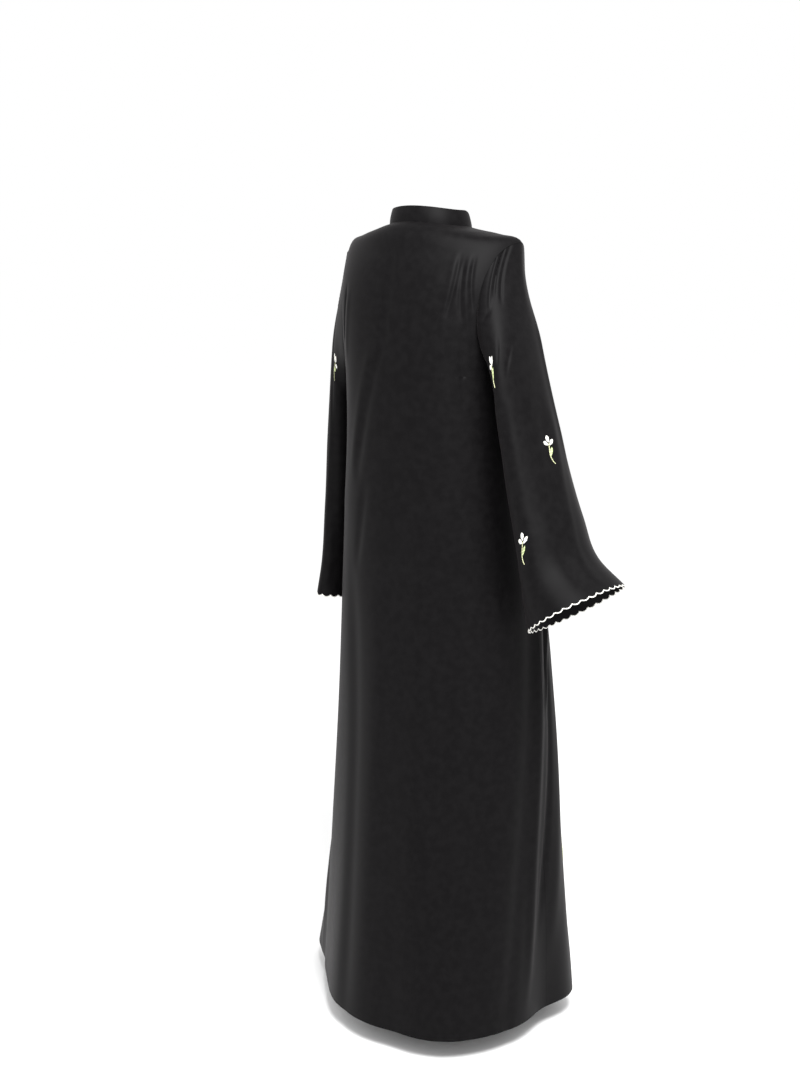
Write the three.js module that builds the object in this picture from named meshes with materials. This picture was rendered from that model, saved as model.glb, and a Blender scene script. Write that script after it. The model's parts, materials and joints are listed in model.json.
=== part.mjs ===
// An abaya cloak: a long black open-fronted over-dress with a band collar and wide bell sleeves,
// in the hollow form it has when it is worn.
// Millimetres, +Z up, the front towards -Y and the wearer's right towards -X.
// The origin is in the middle of the neck opening, where the shoulders carry the cloth.
import * as THREE from "three";

const CLOTH_WALL = 1.5;          // the panels and sleeves
const COLLAR_WALL = 2.5;         // the band collar: two layers and a stiffener
const EDGING_WALL = 1.2;         // the scalloped edging on the cuffs
const SEAM_GAP = 0.4;            // between two pieces that are sewn together
const FRONT_GAP_AT_NECK = 3;     // between the two fronts at the collar
const FRONT_GAP_AT_HEM = 60;     // between the two fronts at the hem
const FRONT_GAP_STARTS = -300;   // the fronts part below this height
const COLLAR_HEIGHT = 28;
const COLLAR_LEAN = 5;           // how far the top of the collar leans in
const SCALLOP_PITCH = 16.5;
const SCALLOP_BASE = 2.5;        // depth of the edging between two scallops
const SCALLOP_DEPTH = 4.5;       // how much deeper the edging is in the middle of a scallop
const HEM_Z = -1438;

const BACK_COLUMNS = 28;         // steps across the back
const FRONT_COLUMNS = 14;        // steps across each front
const YOKE_ROWS = 4;             // steps from the neck ring to the shoulder tip
const ARMHOLE_STEPS = 22;        // steps round each armhole and sleeve
const SKIRT_ROWS = 11;           // steps from the underarm to the hem
const SLEEVE_ROWS = 11;          // steps from the armhole to the cuff
const SCALLOP_STEPS = 3;         // steps along each scallop
const COLLAR_COLUMNS = 38;
const RIM_SAMPLES = 360;

// The small steps over which a surface's normal is measured, in degrees, levels and sleeve shares.
const ANGLE_STEP = 1;
const TURN_STEP = 4;
const LEVEL_STEP = 0.05;
const ALONG_STEP = 0.02;
const SLEEVE_START = 0.05;

// A table is a list of rows under named columns, and its first column is the one that is looked up.
const table = (columns, rows) => ({ columns, rows });

// The girths of the body from the neck ring to the hem. Each is an oval with its own height at the
// back, the sides and the front. A power of 2 makes an ellipse, and more makes it squarer.
const GIRTHS = table(
  ["level", "backZ", "sideZ", "frontZ", "halfWidth", "backY", "sideY", "frontY", "backPower", "frontPower"],
  [
    [0.0, 10, 2, -42, 76, 68, 0, -74, 2.0, 2.0],                    // neck ring
    [0.5, 4, -4, -52, 100, 82, -5, -86, 1.95, 1.95],
    [1.0, -12, -12, -66, 140, 94, -11, -98, 1.85, 1.85],            // middle of the shoulders
    [1.6, -46, -27, -92, 181, 103, -18, -110, 1.7, 1.7],            // shoulder tips
    [2.2, -100, -96, -132, 184, 112, -22, -124, 2.2, 2.2],
    [3.0, -188, -188, -205, 176, 119, -28, -140, 2.45, 2.4],        // chest
    [3.6, -258, -258, -262, 170, 120, -33, -146, 2.45, 2.4],        // underarms
    [4.4, -350, -350, -350, 170, 120, -37, -146, 2.4, 2.4],
    [5.6, -490, -490, -490, 180, 120, -41, -154, 2.35, 2.4],
    [7.0, -660, -660, -660, 199, 120, -44, -176, 2.3, 2.4],         // hips
    [9.0, -900, -900, -900, 220, 134, -46, -194, 2.2, 2.3],
    [11.0, -1160, -1160, -1160, 239, 166, -44, -206, 2.15, 2.25],
    [13.3, HEM_Z, HEM_Z, HEM_Z, 258, 206, -40, -224, 2.1, 2.2],     // hem
  ],
);
const SHOULDER_LEVEL = 1.6;
const UNDERARM_LEVEL = 3.6;
const HEM_LEVEL = 13.3;

// The flutes of the skirt: where each one stands, from the middle of the back towards the wearer's
// left, how wide it is, where it starts, how far it pushes the hem out and how it grows.
const FLUTES = table(
  ["angle", "spread", "startZ", "push", "growth"],
  [
    [-33, 28, -700, 36, 1.3],
    [-17, 9, -1000, -10, 1.2],
    [50, 30, -500, -36, 1.0],
    [98, 15, -850, 66, 1.6],
    [-88, 15, -900, -20, 1.2],
    [-112, 18, -800, 12, 1.2],
  ],
);

// An armhole is cut this many degrees into the back and into the front.
const ARMHOLE_INTO_BACK = 38;
const ARMHOLE_INTO_FRONT = 40;
const ARMHOLE_SQUARENESS = 0.75;

// The sleeves from the armhole (0) to the cuff (1): the outer and the inner line of the arm, the
// middle of the sleeve from front to back, and how far it reaches to the back and to the front.
const SLEEVE_COLUMNS = [
  "along", "outerX", "outerZ", "innerX", "innerZ", "middleY", "backReach", "frontReach",
];
const RIGHT_SLEEVE = table(SLEEVE_COLUMNS, [
  [0.00, 184, -29, 171, -258, -18, 60, 60],
  [0.10, 192, -80, 183, -272, -8, 70, 56],
  [0.25, 213, -160, 186, -318, 4, 88, 58],
  [0.50, 262, -330, 197, -430, 12, 88, 64],
  [0.75, 318, -490, 228, -562, 20, 92, 74],                         // the elbow
  [0.92, 360, -570, 247, -655, 25, 100, 84],
  [1.00, 404, -604, 257, -696, 28, 106, 98],                        // the cuff
]);
const LEFT_SLEEVE = table(SLEEVE_COLUMNS, [
  [0.00, 184, -29, 171, -258, -18, 60, 60],
  [0.10, 201, -84, 182, -272, -26, 58, 58],
  [0.25, 222, -165, 185, -318, -38, 60, 56],
  [0.50, 244, -330, 190, -440, -48, 62, 58],
  [0.75, 258, -510, 200, -570, -56, 70, 68],                        // the elbow
  [0.92, 267, -635, 208, -660, -60, 76, 78],
  [1.00, 274, -690, 211, -700, -60, 82, 84],                        // the cuff
]);
const SLEEVE_HEAD = 0.30;        // the sleeve leaves the shape of the armhole by this far along

const black = () => new THREE.MeshStandardMaterial({ color: 0x17161a, roughness: 0.62, metalness: 0 });
const white = () => new THREE.MeshStandardMaterial({ color: 0xe9e7e2, roughness: 0.7, metalness: 0 });

const degrees = (angle) => (angle * Math.PI) / 180;
const signedPower = (value, power) => Math.sign(value) * Math.abs(value) ** power;
const smoothStep = (t) => {
  const u = Math.min(Math.max(t, 0), 1);
  return u * u * (3 - 2 * u);
};

// Whole steps from one value to another, both ends included.
function steps(from, to, count) {
  return Array.from({ length: count + 1 }, (_, i) => from + ((to - from) * i) / count);
}

// The slope of one column at each row: the neighbours' slopes, each weighted by the other's step.
function slopes(rows, column) {
  const step = (i) => rows[i + 1][0] - rows[i][0];
  const slope = (i) => (rows[i + 1][column] - rows[i][column]) / step(i);
  const last = rows.length - 1;
  return rows.map((_, i) => {
    if (i === 0) return slope(0);
    if (i === last) return slope(last - 1);
    return (slope(i - 1) * step(i) + slope(i) * step(i - 1)) / (step(i) + step(i - 1));
  });
}

// Reads a table between its rows on a smooth cubic, and gives the columns by name.
function readTable(source, at) {
  source.slopes ??= source.columns.map((_, column) => slopes(source.rows, column));
  const rows = source.rows;
  let i = 0;
  while (i < rows.length - 2 && rows[i + 1][0] <= at) i += 1;
  const step = rows[i + 1][0] - rows[i][0];
  const u = (at - rows[i][0]) / step;
  const value = (column) => {
    const slope = source.slopes[column];
    const share = 3 * u ** 2 - 2 * u ** 3;
    const ends = (1 - share) * rows[i][column] + share * rows[i + 1][column];
    return ends + step * ((u ** 3 - 2 * u ** 2 + u) * slope[i] + (u ** 3 - u ** 2) * slope[i + 1]);
  };
  return Object.fromEntries(source.columns.map((name, column) => [name, value(column)]));
}

// How far the flutes push a point of the skirt away from its middle line.
function flutePush(angle, z) {
  let push = 0;
  for (const [at, spread, startZ, amount, growth] of FLUTES.rows) {
    const turn = ((angle - at + 540) % 360) - 180;
    const grown = Math.min(Math.max((z - startZ) / (HEM_Z - startZ), 0), 1) ** growth;
    push += amount * grown * Math.exp(-((turn / spread) ** 2));
  }
  return push;
}

// A point on the outside of the body: the angle turns from the middle of the back (0) over the
// wearer's left side (90) to the middle of the front (180).
function bodyPoint(angle, level) {
  const girth = readTable(GIRTHS, level);
  const cos = Math.cos(degrees(angle));
  const sin = Math.sin(degrees(angle));
  const atBack = cos >= 0;
  const power = 2 / (atBack ? girth.backPower : girth.frontPower);
  const reach = atBack ? girth.backY - girth.sideY : girth.sideY - girth.frontY;
  const x = girth.halfWidth * signedPower(sin, power);
  const y = girth.sideY + reach * signedPower(cos, power);
  const z = girth.sideZ + ((atBack ? girth.backZ : girth.frontZ) - girth.sideZ) * cos * cos;
  const bearing = Math.atan2(x, y - girth.sideY);
  const push = flutePush((bearing * 180) / Math.PI, z);
  return new THREE.Vector3(x + push * Math.sin(bearing), y + push * Math.cos(bearing), z);
}

// The level of the armhole's edge at a turn round the armhole: 0 is the shoulder tip, 90 the back,
// 180 the underarm and 270 the front.
function armholeLevel(turn) {
  return SHOULDER_LEVEL + ((UNDERARM_LEVEL - SHOULDER_LEVEL) * (1 - Math.cos(degrees(turn)))) / 2;
}

// How many degrees the armhole is cut into a panel at that turn.
function armholeCut(turn, deepest) {
  return deepest * Math.abs(Math.sin(degrees(turn))) ** ARMHOLE_SQUARENESS;
}

// The angle of the armhole's edge on the body, side +1 for the wearer's left.
function armholeAngle(turn, side) {
  const onBack = Math.sin(degrees(turn)) >= 0;
  const cut = onBack ? -armholeCut(turn, ARMHOLE_INTO_BACK) : armholeCut(turn, ARMHOLE_INTO_FRONT);
  return side * (90 + cut);
}

// A point on the armhole's edge.
function armholePoint(turn, side) {
  return bodyPoint(armholeAngle(turn, side), armholeLevel(turn));
}

// A point of the sleeve's own oval, before its head is eased into the armhole.
function sleeveOval(turn, row, side) {
  const cos = Math.cos(degrees(turn));
  const sin = Math.sin(degrees(turn));
  const x = (row.outerX + row.innerX) / 2 + ((row.outerX - row.innerX) / 2) * cos;
  const y = row.middleY + (sin >= 0 ? row.backReach : row.frontReach) * sin;
  const z = (row.outerZ + row.innerZ) / 2 + ((row.outerZ - row.innerZ) / 2) * cos;
  return new THREE.Vector3(side * x, y, z);
}

// A point on the outside of a sleeve: the turn is the armhole's, and along goes from 0 to 1.
function sleevePoint(turn, along, side) {
  const arm = side > 0 ? LEFT_SLEEVE : RIGHT_SLEEVE;
  const point = sleeveOval(turn, readTable(arm, along), side);
  const ease = armholePoint(turn, side).sub(sleeveOval(turn, readTable(arm, 0), side));
  return point.addScaledVector(ease, 1 - smoothStep(along / SLEEVE_HEAD));
}

// The normal of a surface given by a function of two values.
function surfaceNormal(surface, u, v, stepU, lowV, highV) {
  const across = surface(u + stepU, v).sub(surface(u - stepU, v));
  const down = surface(u, highV).sub(surface(u, lowV));
  return across.cross(down).normalize();
}

// The outward normal of the body.
function bodyNormal(angle, level) {
  const above = Math.max(level - LEVEL_STEP, 0);
  const below = Math.min(level + LEVEL_STEP, HEM_LEVEL);
  return surfaceNormal(bodyPoint, angle, level, ANGLE_STEP, above, below);
}

// The outward normal of a sleeve.
function sleeveNormal(turn, along, side) {
  const surface = (u, v) => sleevePoint(u, v, side);
  const above = Math.max(along - ALONG_STEP, 0);
  const below = Math.min(along + ALONG_STEP, 1);
  const normal = surfaceNormal(surface, turn, along, TURN_STEP, above, below);
  return normal.multiplyScalar(-side);
}

// The direction of the armhole seam's edge faces. Where the sleeve bends away from the body both
// edges lie halfway between the two normals, and where it bends up each keeps its own.
function seamNormal(turn, side, own) {
  const onBody = bodyNormal(armholeAngle(turn, side), armholeLevel(turn));
  const onSleeve = sleeveNormal(turn, 0, side);
  const away = sleevePoint(turn, SLEEVE_START, side).sub(armholePoint(turn, side));
  return away.dot(onBody) < 0 ? onBody.add(onSleeve).normalize() : own;
}

// Moves the end points of a row of points towards their neighbours, half a seam's gap each.
function openRow(row) {
  const last = row.length - 1;
  const pulled = (from, to) => to.clone().sub(from).setLength(SEAM_GAP / 2).add(from);
  return [pulled(row[0], row[1]), ...row.slice(1, last), pulled(row[last], row[last - 1])];
}

// A closed wall of cloth from a grid of outer points and one of inner points. A tube's grid is
// joined from its last column to its first.
function wallGeometry(outer, inner, isTube) {
  const rows = outer.length;
  const columns = outer[0].length;
  const points = [...outer.flat(), ...inner.flat()];
  const triangles = [];
  const o = (i, j) => i * columns + (j % columns);
  const n = (i, j) => rows * columns + o(i, j);
  const quad = (a, b, c, d) => triangles.push(a, b, c, a, c, d);
  const lastColumn = isTube ? columns : columns - 1;
  for (let j = 0; j < lastColumn; j += 1) {
    for (let i = 0; i < rows - 1; i += 1) {
      quad(o(i, j), o(i, j + 1), o(i + 1, j + 1), o(i + 1, j));
      quad(n(i, j), n(i + 1, j), n(i + 1, j + 1), n(i, j + 1));
    }
    quad(o(0, j + 1), o(0, j), n(0, j), n(0, j + 1));
    quad(o(rows - 1, j), o(rows - 1, j + 1), n(rows - 1, j + 1), n(rows - 1, j));
  }
  if (!isTube) {
    for (let i = 0; i < rows - 1; i += 1) {
      quad(o(i, 0), o(i + 1, 0), n(i + 1, 0), n(i, 0));
      quad(o(i + 1, lastColumn), o(i, lastColumn), n(i, lastColumn), n(i + 1, lastColumn));
    }
  }
  return closedGeometry(points, triangles);
}

// Puts points and triangles into a geometry whose faces point outwards.
function closedGeometry(points, triangles) {
  let volume = 0;
  for (let i = 0; i < triangles.length; i += 3) {
    const [a, b, c] = [0, 1, 2].map((k) => points[triangles[i + k]]);
    volume += a.dot(b.clone().cross(c)) / 6;
  }
  if (volume < 0) triangles.reverse();
  const geometry = new THREE.BufferGeometry();
  const numbers = points.flatMap((point) => point.toArray());
  geometry.setAttribute("position", new THREE.Float32BufferAttribute(numbers, 3));
  geometry.setIndex(triangles);
  geometry.computeVertexNormals();
  return geometry;
}

function piece(name, geometry, material) {
  const mesh = new THREE.Mesh(geometry, material);
  mesh.name = name;
  return mesh;
}

// The rows of the body panels: neck to shoulder tip, down the armhole, and underarm to hem. Each
// says how many degrees the armhole cuts into the back and the front there.
function panelRows() {
  const uncut = (level) => ({ level, turn: null, backCut: 0, frontCut: 0 });
  const yoke = steps(0, SHOULDER_LEVEL, YOKE_ROWS).slice(0, -1).map(uncut);
  const armhole = steps(0, 180, ARMHOLE_STEPS / 2).map((turn) => ({
    level: armholeLevel(turn),
    turn,
    backCut: armholeCut(turn, ARMHOLE_INTO_BACK),
    frontCut: armholeCut(turn, ARMHOLE_INTO_FRONT),
  }));
  const skirt = steps(UNDERARM_LEVEL, HEM_LEVEL, SKIRT_ROWS).slice(1).map(uncut);
  return [...yoke, ...armhole, ...skirt];
}

// Half the gap between the two fronts at a height.
function halfFrontGap(z) {
  const parted = Math.max((z - FRONT_GAP_STARTS) / (HEM_Z - FRONT_GAP_STARTS), 0);
  return (FRONT_GAP_AT_NECK + (FRONT_GAP_AT_HEM - FRONT_GAP_AT_NECK) * parted ** 1.5) / 2;
}

// The angle at which a front ends beside the middle of the front.
function frontEdgeAngle(level) {
  const girth = readTable(GIRTHS, level);
  const share = halfFrontGap(girth.frontZ) / girth.halfWidth;
  return 180 - (Math.asin(share ** (girth.frontPower / 2)) * 180) / Math.PI;
}

// One panel of the body between two angles that may change from row to row. The armholes are the
// sides (-1 right, +1 left, 0 none) that its first and its last column run along.
function panel(name, fromAngle, toAngle, columns, armholes) {
  const outer = [];
  const inner = [];
  for (const row of panelRows()) {
    const angles = steps(fromAngle(row), toAngle(row), columns);
    const line = angles.map((angle) => bodyPoint(angle, row.level));
    const normals = angles.map((angle) => bodyNormal(angle, row.level));
    armholes.forEach((side, end) => {
      if (side === 0 || row.turn === null) return;
      const j = end * columns;
      const turn = Math.abs(angles[j]) <= 90 ? row.turn : 360 - row.turn;
      normals[j] = seamNormal(turn, side, normals[j]);
    });
    const opened = openRow(line);
    outer.push(opened);
    inner.push(opened.map((point, j) => point.clone().addScaledVector(normals[j], -CLOTH_WALL)));
  }
  return piece(name, wallGeometry(outer, inner, false), black());
}

// A sleeve: a tube whose first ring lies just outside the armhole's edge.
function sleeve(name, side) {
  const turns = steps(0, 360, ARMHOLE_STEPS).slice(0, -1);
  const surface = (turn, along) => sleevePoint(turn, along, side);
  const rings = steps(0, 1, SLEEVE_ROWS).map((along) => turns.map((turn) => surface(turn, along)));
  rings[0] = rings[0].map((point, j) => rings[1][j].clone().sub(point).setLength(SEAM_GAP).add(point));
  const inner = rings.map((ring, i) => ring.map((point, j) => {
    const own = sleeveNormal(turns[j], i / SLEEVE_ROWS, side);
    const normal = i === 0 ? seamNormal(turns[j], side, own) : own;
    return point.clone().addScaledVector(normal, -CLOTH_WALL);
  }));
  return piece(name, wallGeometry(rings, inner, true), black());
}

// The band collar stands on the neck ring and leans in a little. Its ends face each other in front.
function collar() {
  const end = frontEdgeAngle(0);
  const angles = steps(-end, end, COLLAR_COLUMNS);
  const ring = (lift, inset) => angles.map((angle) => {
    const point = bodyPoint(angle, 0);
    const out = new THREE.Vector3(point.x, point.y, 0).normalize();
    return point.addScaledVector(out, -inset).setZ(point.z + lift);
  });
  const outer = [ring(COLLAR_HEIGHT, COLLAR_LEAN), ring(SEAM_GAP, 0)];
  const inner = [ring(COLLAR_HEIGHT, COLLAR_LEAN + COLLAR_WALL), ring(SEAM_GAP, COLLAR_WALL)];
  return piece("collar_stand", wallGeometry(outer, inner, false), black());
}

// The turns at which the cuff's edge has been followed for equal lengths.
function evenTurns(side, count) {
  const turns = steps(0, 360, RIM_SAMPLES);
  const lengths = [0];
  for (let i = 1; i < turns.length; i += 1) {
    const step = sleevePoint(turns[i], 1, side).distanceTo(sleevePoint(turns[i - 1], 1, side));
    lengths.push(lengths[i - 1] + step);
  }
  const whole = lengths[RIM_SAMPLES];
  return steps(0, whole, count).slice(0, -1).map((length) => {
    const i = Math.max(lengths.findIndex((reached) => reached > length), 1);
    return turns[i - 1] + (length - lengths[i - 1]) / (lengths[i] - lengths[i - 1]);
  });
}

// How many scallops fit round a cuff.
function scallopCount(side) {
  const rim = steps(0, 360, RIM_SAMPLES).map((turn) => sleevePoint(turn, 1, side));
  const around = rim.slice(1).reduce((sum, point, i) => sum + point.distanceTo(rim[i]), 0);
  return Math.round(around / SCALLOP_PITCH);
}

// The scalloped edging: a narrow band that hangs from the cuff, deeper in the middle of each scallop.
function edging(name, side) {
  const turns = evenTurns(side, scallopCount(side) * SCALLOP_STEPS);
  const surface = (turn, along) => sleevePoint(turn, along, side);
  const grid = [[], []];
  const inside = [[], []];
  turns.forEach((turn, k) => {
    const rim = surface(turn, 1);
    const down = rim.clone().sub(surface(turn, 1 - ALONG_STEP)).normalize();
    const normal = sleeveNormal(turn, 1, side);
    const bulge = Math.sin((Math.PI * (k % SCALLOP_STEPS)) / SCALLOP_STEPS);
    const depths = [SEAM_GAP, SEAM_GAP + SCALLOP_BASE + SCALLOP_DEPTH * bulge];
    depths.forEach((depth, i) => {
      const point = rim.clone().addScaledVector(down, depth);
      grid[i].push(point);
      inside[i].push(point.clone().addScaledVector(normal, -EDGING_WALL));
    });
  });
  return piece(name, wallGeometry(grid, inside, true), white());
}

const abaya = new THREE.Group();
const backFrom = (row) => row.backCut - 90;
const backTo = (row) => 90 - row.backCut;
const frontFrom = (row) => 90 + row.frontCut;
const frontTo = (row) => frontEdgeAngle(row.level);
const mirrored = (angle) => (row) => -angle(row);
abaya.add(panel("back_panel", backFrom, backTo, BACK_COLUMNS, [-1, 1]));
abaya.add(panel("front_left", frontFrom, frontTo, FRONT_COLUMNS, [1, 0]));
abaya.add(panel("front_right", mirrored(frontTo), mirrored(frontFrom), FRONT_COLUMNS, [0, -1]));
abaya.add(sleeve("sleeve_left", 1));
abaya.add(sleeve("sleeve_right", -1));
abaya.add(collar());
abaya.add(edging("scallop_left", 1));
abaya.add(edging("scallop_right", -1));

export default abaya;
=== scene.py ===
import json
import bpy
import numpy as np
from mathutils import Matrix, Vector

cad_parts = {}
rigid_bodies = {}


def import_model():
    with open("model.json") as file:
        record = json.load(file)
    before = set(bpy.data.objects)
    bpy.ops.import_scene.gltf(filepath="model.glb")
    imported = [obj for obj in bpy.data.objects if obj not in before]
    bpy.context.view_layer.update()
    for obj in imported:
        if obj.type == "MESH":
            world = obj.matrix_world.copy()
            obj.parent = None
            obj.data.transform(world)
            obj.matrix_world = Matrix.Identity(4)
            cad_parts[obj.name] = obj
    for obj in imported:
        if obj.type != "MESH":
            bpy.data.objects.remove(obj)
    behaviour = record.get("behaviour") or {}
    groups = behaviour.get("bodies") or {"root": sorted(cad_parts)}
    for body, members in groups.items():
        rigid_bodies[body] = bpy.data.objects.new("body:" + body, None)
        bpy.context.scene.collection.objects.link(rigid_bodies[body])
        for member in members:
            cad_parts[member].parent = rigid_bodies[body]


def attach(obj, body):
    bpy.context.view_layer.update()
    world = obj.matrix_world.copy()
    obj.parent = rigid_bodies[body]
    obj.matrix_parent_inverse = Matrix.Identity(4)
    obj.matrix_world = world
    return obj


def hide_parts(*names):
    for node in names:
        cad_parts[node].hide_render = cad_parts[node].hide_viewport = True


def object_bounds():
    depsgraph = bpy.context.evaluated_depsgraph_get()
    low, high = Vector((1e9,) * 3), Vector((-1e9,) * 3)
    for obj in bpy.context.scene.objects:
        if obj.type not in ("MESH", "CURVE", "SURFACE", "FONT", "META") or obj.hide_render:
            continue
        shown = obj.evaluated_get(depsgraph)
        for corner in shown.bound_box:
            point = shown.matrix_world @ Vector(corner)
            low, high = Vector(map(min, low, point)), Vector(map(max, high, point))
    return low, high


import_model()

# %% [markdown]
# # A long black abaya cloak, as it hangs when it is worn
# The real cloak is cut from crepe with a low satin sheen: one wide back, two fronts, two bell
# sleeves and a band collar. Its cuffs have a white scalloped edge, and small sprigs of satin
# stitch are scattered on it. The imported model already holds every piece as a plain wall, so this
# script only makes the looks: finer surfaces on the same form, folds, thread and light.

MM = 0.001
cad_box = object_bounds()
BODY = "root"
print("model box in metres:", cad_box)

# %% [markdown]
# ## The tables of the cut
# A maker thinks of the body as girths, one below the other, and of a sleeve as the lines of the
# arm with a reach to the back and to the front. Sculpting could make the same form, but a table
# keeps each size in sight and the surfaces exactly on the solids that they stand for.

# %% Girths of the body and lines of the sleeves, in millimetres
# level, back z, side z, front z, half width, back y, side y, front y, back power, front power
GIRTHS = np.array([
    [0.0, 10, 2, -42, 76, 68, 0, -74, 2.0, 2.0],
    [0.5, 4, -4, -52, 100, 82, -5, -86, 1.95, 1.95],
    [1.0, -12, -12, -66, 140, 94, -11, -98, 1.85, 1.85],
    [1.6, -46, -27, -92, 181, 103, -18, -110, 1.7, 1.7],
    [2.2, -100, -96, -132, 184, 112, -22, -124, 2.2, 2.2],
    [3.0, -188, -188, -205, 176, 119, -28, -140, 2.45, 2.4],
    [3.6, -258, -258, -262, 170, 120, -33, -146, 2.45, 2.4],
    [4.4, -350, -350, -350, 170, 120, -37, -146, 2.4, 2.4],
    [5.6, -490, -490, -490, 180, 120, -41, -154, 2.35, 2.4],
    [7.0, -660, -660, -660, 199, 120, -44, -176, 2.3, 2.4],
    [9.0, -900, -900, -900, 220, 134, -46, -194, 2.2, 2.3],
    [11.0, -1160, -1160, -1160, 239, 166, -44, -206, 2.15, 2.25],
    [13.3, -1438, -1438, -1438, 258, 206, -40, -224, 2.1, 2.2],
])
HEM_Z = -1438.0
HEM_LEVEL = 13.3
SHOULDER_LEVEL = 1.6
UNDERARM_LEVEL = 3.6
ARMHOLE_INTO_BACK = 38.0
ARMHOLE_INTO_FRONT = 40.0
ARMHOLE_SQUARENESS = 0.75
# flutes of the skirt: angle, spread, starting z, push at the hem, growth
FLUTES = [
    (-33, 28, -700, 36, 1.3),
    (-17, 9, -1000, -10, 1.2),
    (50, 30, -500, -36, 1.0),
    (98, 15, -850, 66, 1.6),
    (-88, 15, -900, -20, 1.2),
    (-112, 18, -800, 12, 1.2),
]
# along, outer x, outer z, inner x, inner z, middle y, reach to the back, reach to the front
SLEEVES = {
    -1: np.array([
        [0.00, 184, -29, 171, -258, -18, 60, 60],
        [0.10, 192, -80, 183, -272, -8, 70, 56],
        [0.25, 213, -160, 186, -318, 4, 88, 58],
        [0.50, 262, -330, 197, -430, 12, 88, 64],
        [0.75, 318, -490, 228, -562, 20, 92, 74],
        [0.92, 360, -570, 247, -655, 25, 100, 84],
        [1.00, 404, -604, 257, -696, 28, 106, 98],
    ]),
    1: np.array([
        [0.00, 184, -29, 171, -258, -18, 60, 60],
        [0.10, 201, -84, 182, -272, -26, 58, 58],
        [0.25, 222, -165, 185, -318, -38, 60, 56],
        [0.50, 244, -330, 190, -440, -48, 62, 58],
        [0.75, 258, -510, 200, -570, -56, 70, 68],
        [0.92, 267, -635, 208, -660, -60, 76, 78],
        [1.00, 274, -690, 211, -700, -60, 82, 84],
    ]),
}
SLEEVE_HEAD = 0.30
SLEEVE_LENGTH = 650.0
FRONT_GAP_AT_NECK = 3.0
FRONT_GAP_AT_HEM = 60.0
FRONT_GAP_STARTS = -300.0
print("girths:", len(GIRTHS), "flutes:", len(FLUTES))

# %% [markdown]
# ## Reading a table smoothly
# Blender could loft between curves, but then the seams of neighbouring pieces would drift apart.
# One cubic through the rows gives every piece the same surface, so the seams meet by themselves.

# %% The cubic through a table's rows
def read_table(table, at):
    """The columns of a table at the given places of its first column, on a cubic through the rows.
    A row's slope is its two neighbouring slopes, each weighted by the other's step."""
    key, rows = table[:, 0], table[:, 1:]
    step = np.diff(key)[:, None]
    slope = np.diff(rows, axis=0) / step
    slopes = np.vstack([
        slope[:1],
        (slope[:-1] * step[1:] + slope[1:] * step[:-1]) / (step[1:] + step[:-1]),
        slope[-1:],
    ])
    at = np.asarray(at, float)
    i = np.clip(np.searchsorted(key, at, side="right") - 1, 0, len(key) - 2)
    width = (key[i + 1] - key[i])[..., None]
    u = (at[..., None] - key[i][..., None]) / width
    ends = (2 * u**3 - 3 * u**2 + 1) * rows[i] + (3 * u**2 - 2 * u**3) * rows[i + 1]
    bends = (u**3 - 2 * u**2 + u) * slopes[i] + (u**3 - u**2) * slopes[i + 1]
    return np.moveaxis(ends + width * bends, -1, 0)


print("half width at the hem:", read_table(GIRTHS, HEM_LEVEL)[3].round())


# %% Two small curves
def signed_power(value, power):
    """The value's size to a power, with its own sign."""
    return np.sign(value) * np.abs(value) ** power


def smooth_step(t):
    """0 below 0, 1 above 1, and 3t^2 - 2t^3 between."""
    t = np.clip(t, 0, 1)
    return t * t * (3 - 2 * t)


print("smooth step at a quarter:", smooth_step(0.25))

# %% [markdown]
# ## The body and the sleeves as surfaces
# On a dress stand the cloth is pinned round the figure girth by girth. Here each girth is a
# rounded oval, and an angle and a level say where a point is on it. A sleeve is a tube of ovals in
# the same way. A subdivided cage would do too, but the armholes would be hard to keep exact.

# %% The body's surface
def flute_push(angle, z):
    """How far the flutes push the skirt out: each is a bell curve of the angle that grows downwards."""
    push = np.zeros_like(z)
    for at, spread, start_z, amount, growth in FLUTES:
        turn = (angle - at + 540) % 360 - 180
        grown = np.clip((z - start_z) / (HEM_Z - start_z), 0, 1) ** growth
        push += amount * grown * np.exp(-((turn / spread) ** 2))
    return push


def body_point(angle, level):
    """Millimetres. x = half width * sin^p, y = side + reach * cos^p, z between side and back by
    cos^2. The angle turns from the middle of the back over the wearer's left side."""
    angle, level = np.broadcast_arrays(np.asarray(angle, float), np.asarray(level, float))
    back_z, side_z, front_z, half, back_y, side_y, front_y, back_p, front_p = read_table(GIRTHS, level)
    cos, sin = np.cos(np.radians(angle)), np.sin(np.radians(angle))
    at_back = cos >= 0
    power = 2 / np.where(at_back, back_p, front_p)
    reach = np.where(at_back, back_y - side_y, side_y - front_y)
    x = half * signed_power(sin, power)
    y = side_y + reach * signed_power(cos, power)
    z = side_z + (np.where(at_back, back_z, front_z) - side_z) * cos**2
    bearing = np.arctan2(x, y - side_y)
    push = flute_push(np.degrees(bearing), z)
    return np.stack([x + push * np.sin(bearing), y + push * np.cos(bearing), z], -1)


print("hem at the middle of the back:", body_point(0.0, HEM_LEVEL).round())


# %% The armholes and the sleeves' surface
def armhole_level(turn):
    """The level of the armhole's edge: 0 degrees is the shoulder tip and 180 the underarm."""
    return SHOULDER_LEVEL + (UNDERARM_LEVEL - SHOULDER_LEVEL) * (1 - np.cos(np.radians(turn))) / 2


def armhole_cut(turn, deepest):
    """How many degrees the armhole is cut into a panel: deepest * |sin|^squareness."""
    return deepest * np.abs(np.sin(np.radians(turn))) ** ARMHOLE_SQUARENESS


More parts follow.
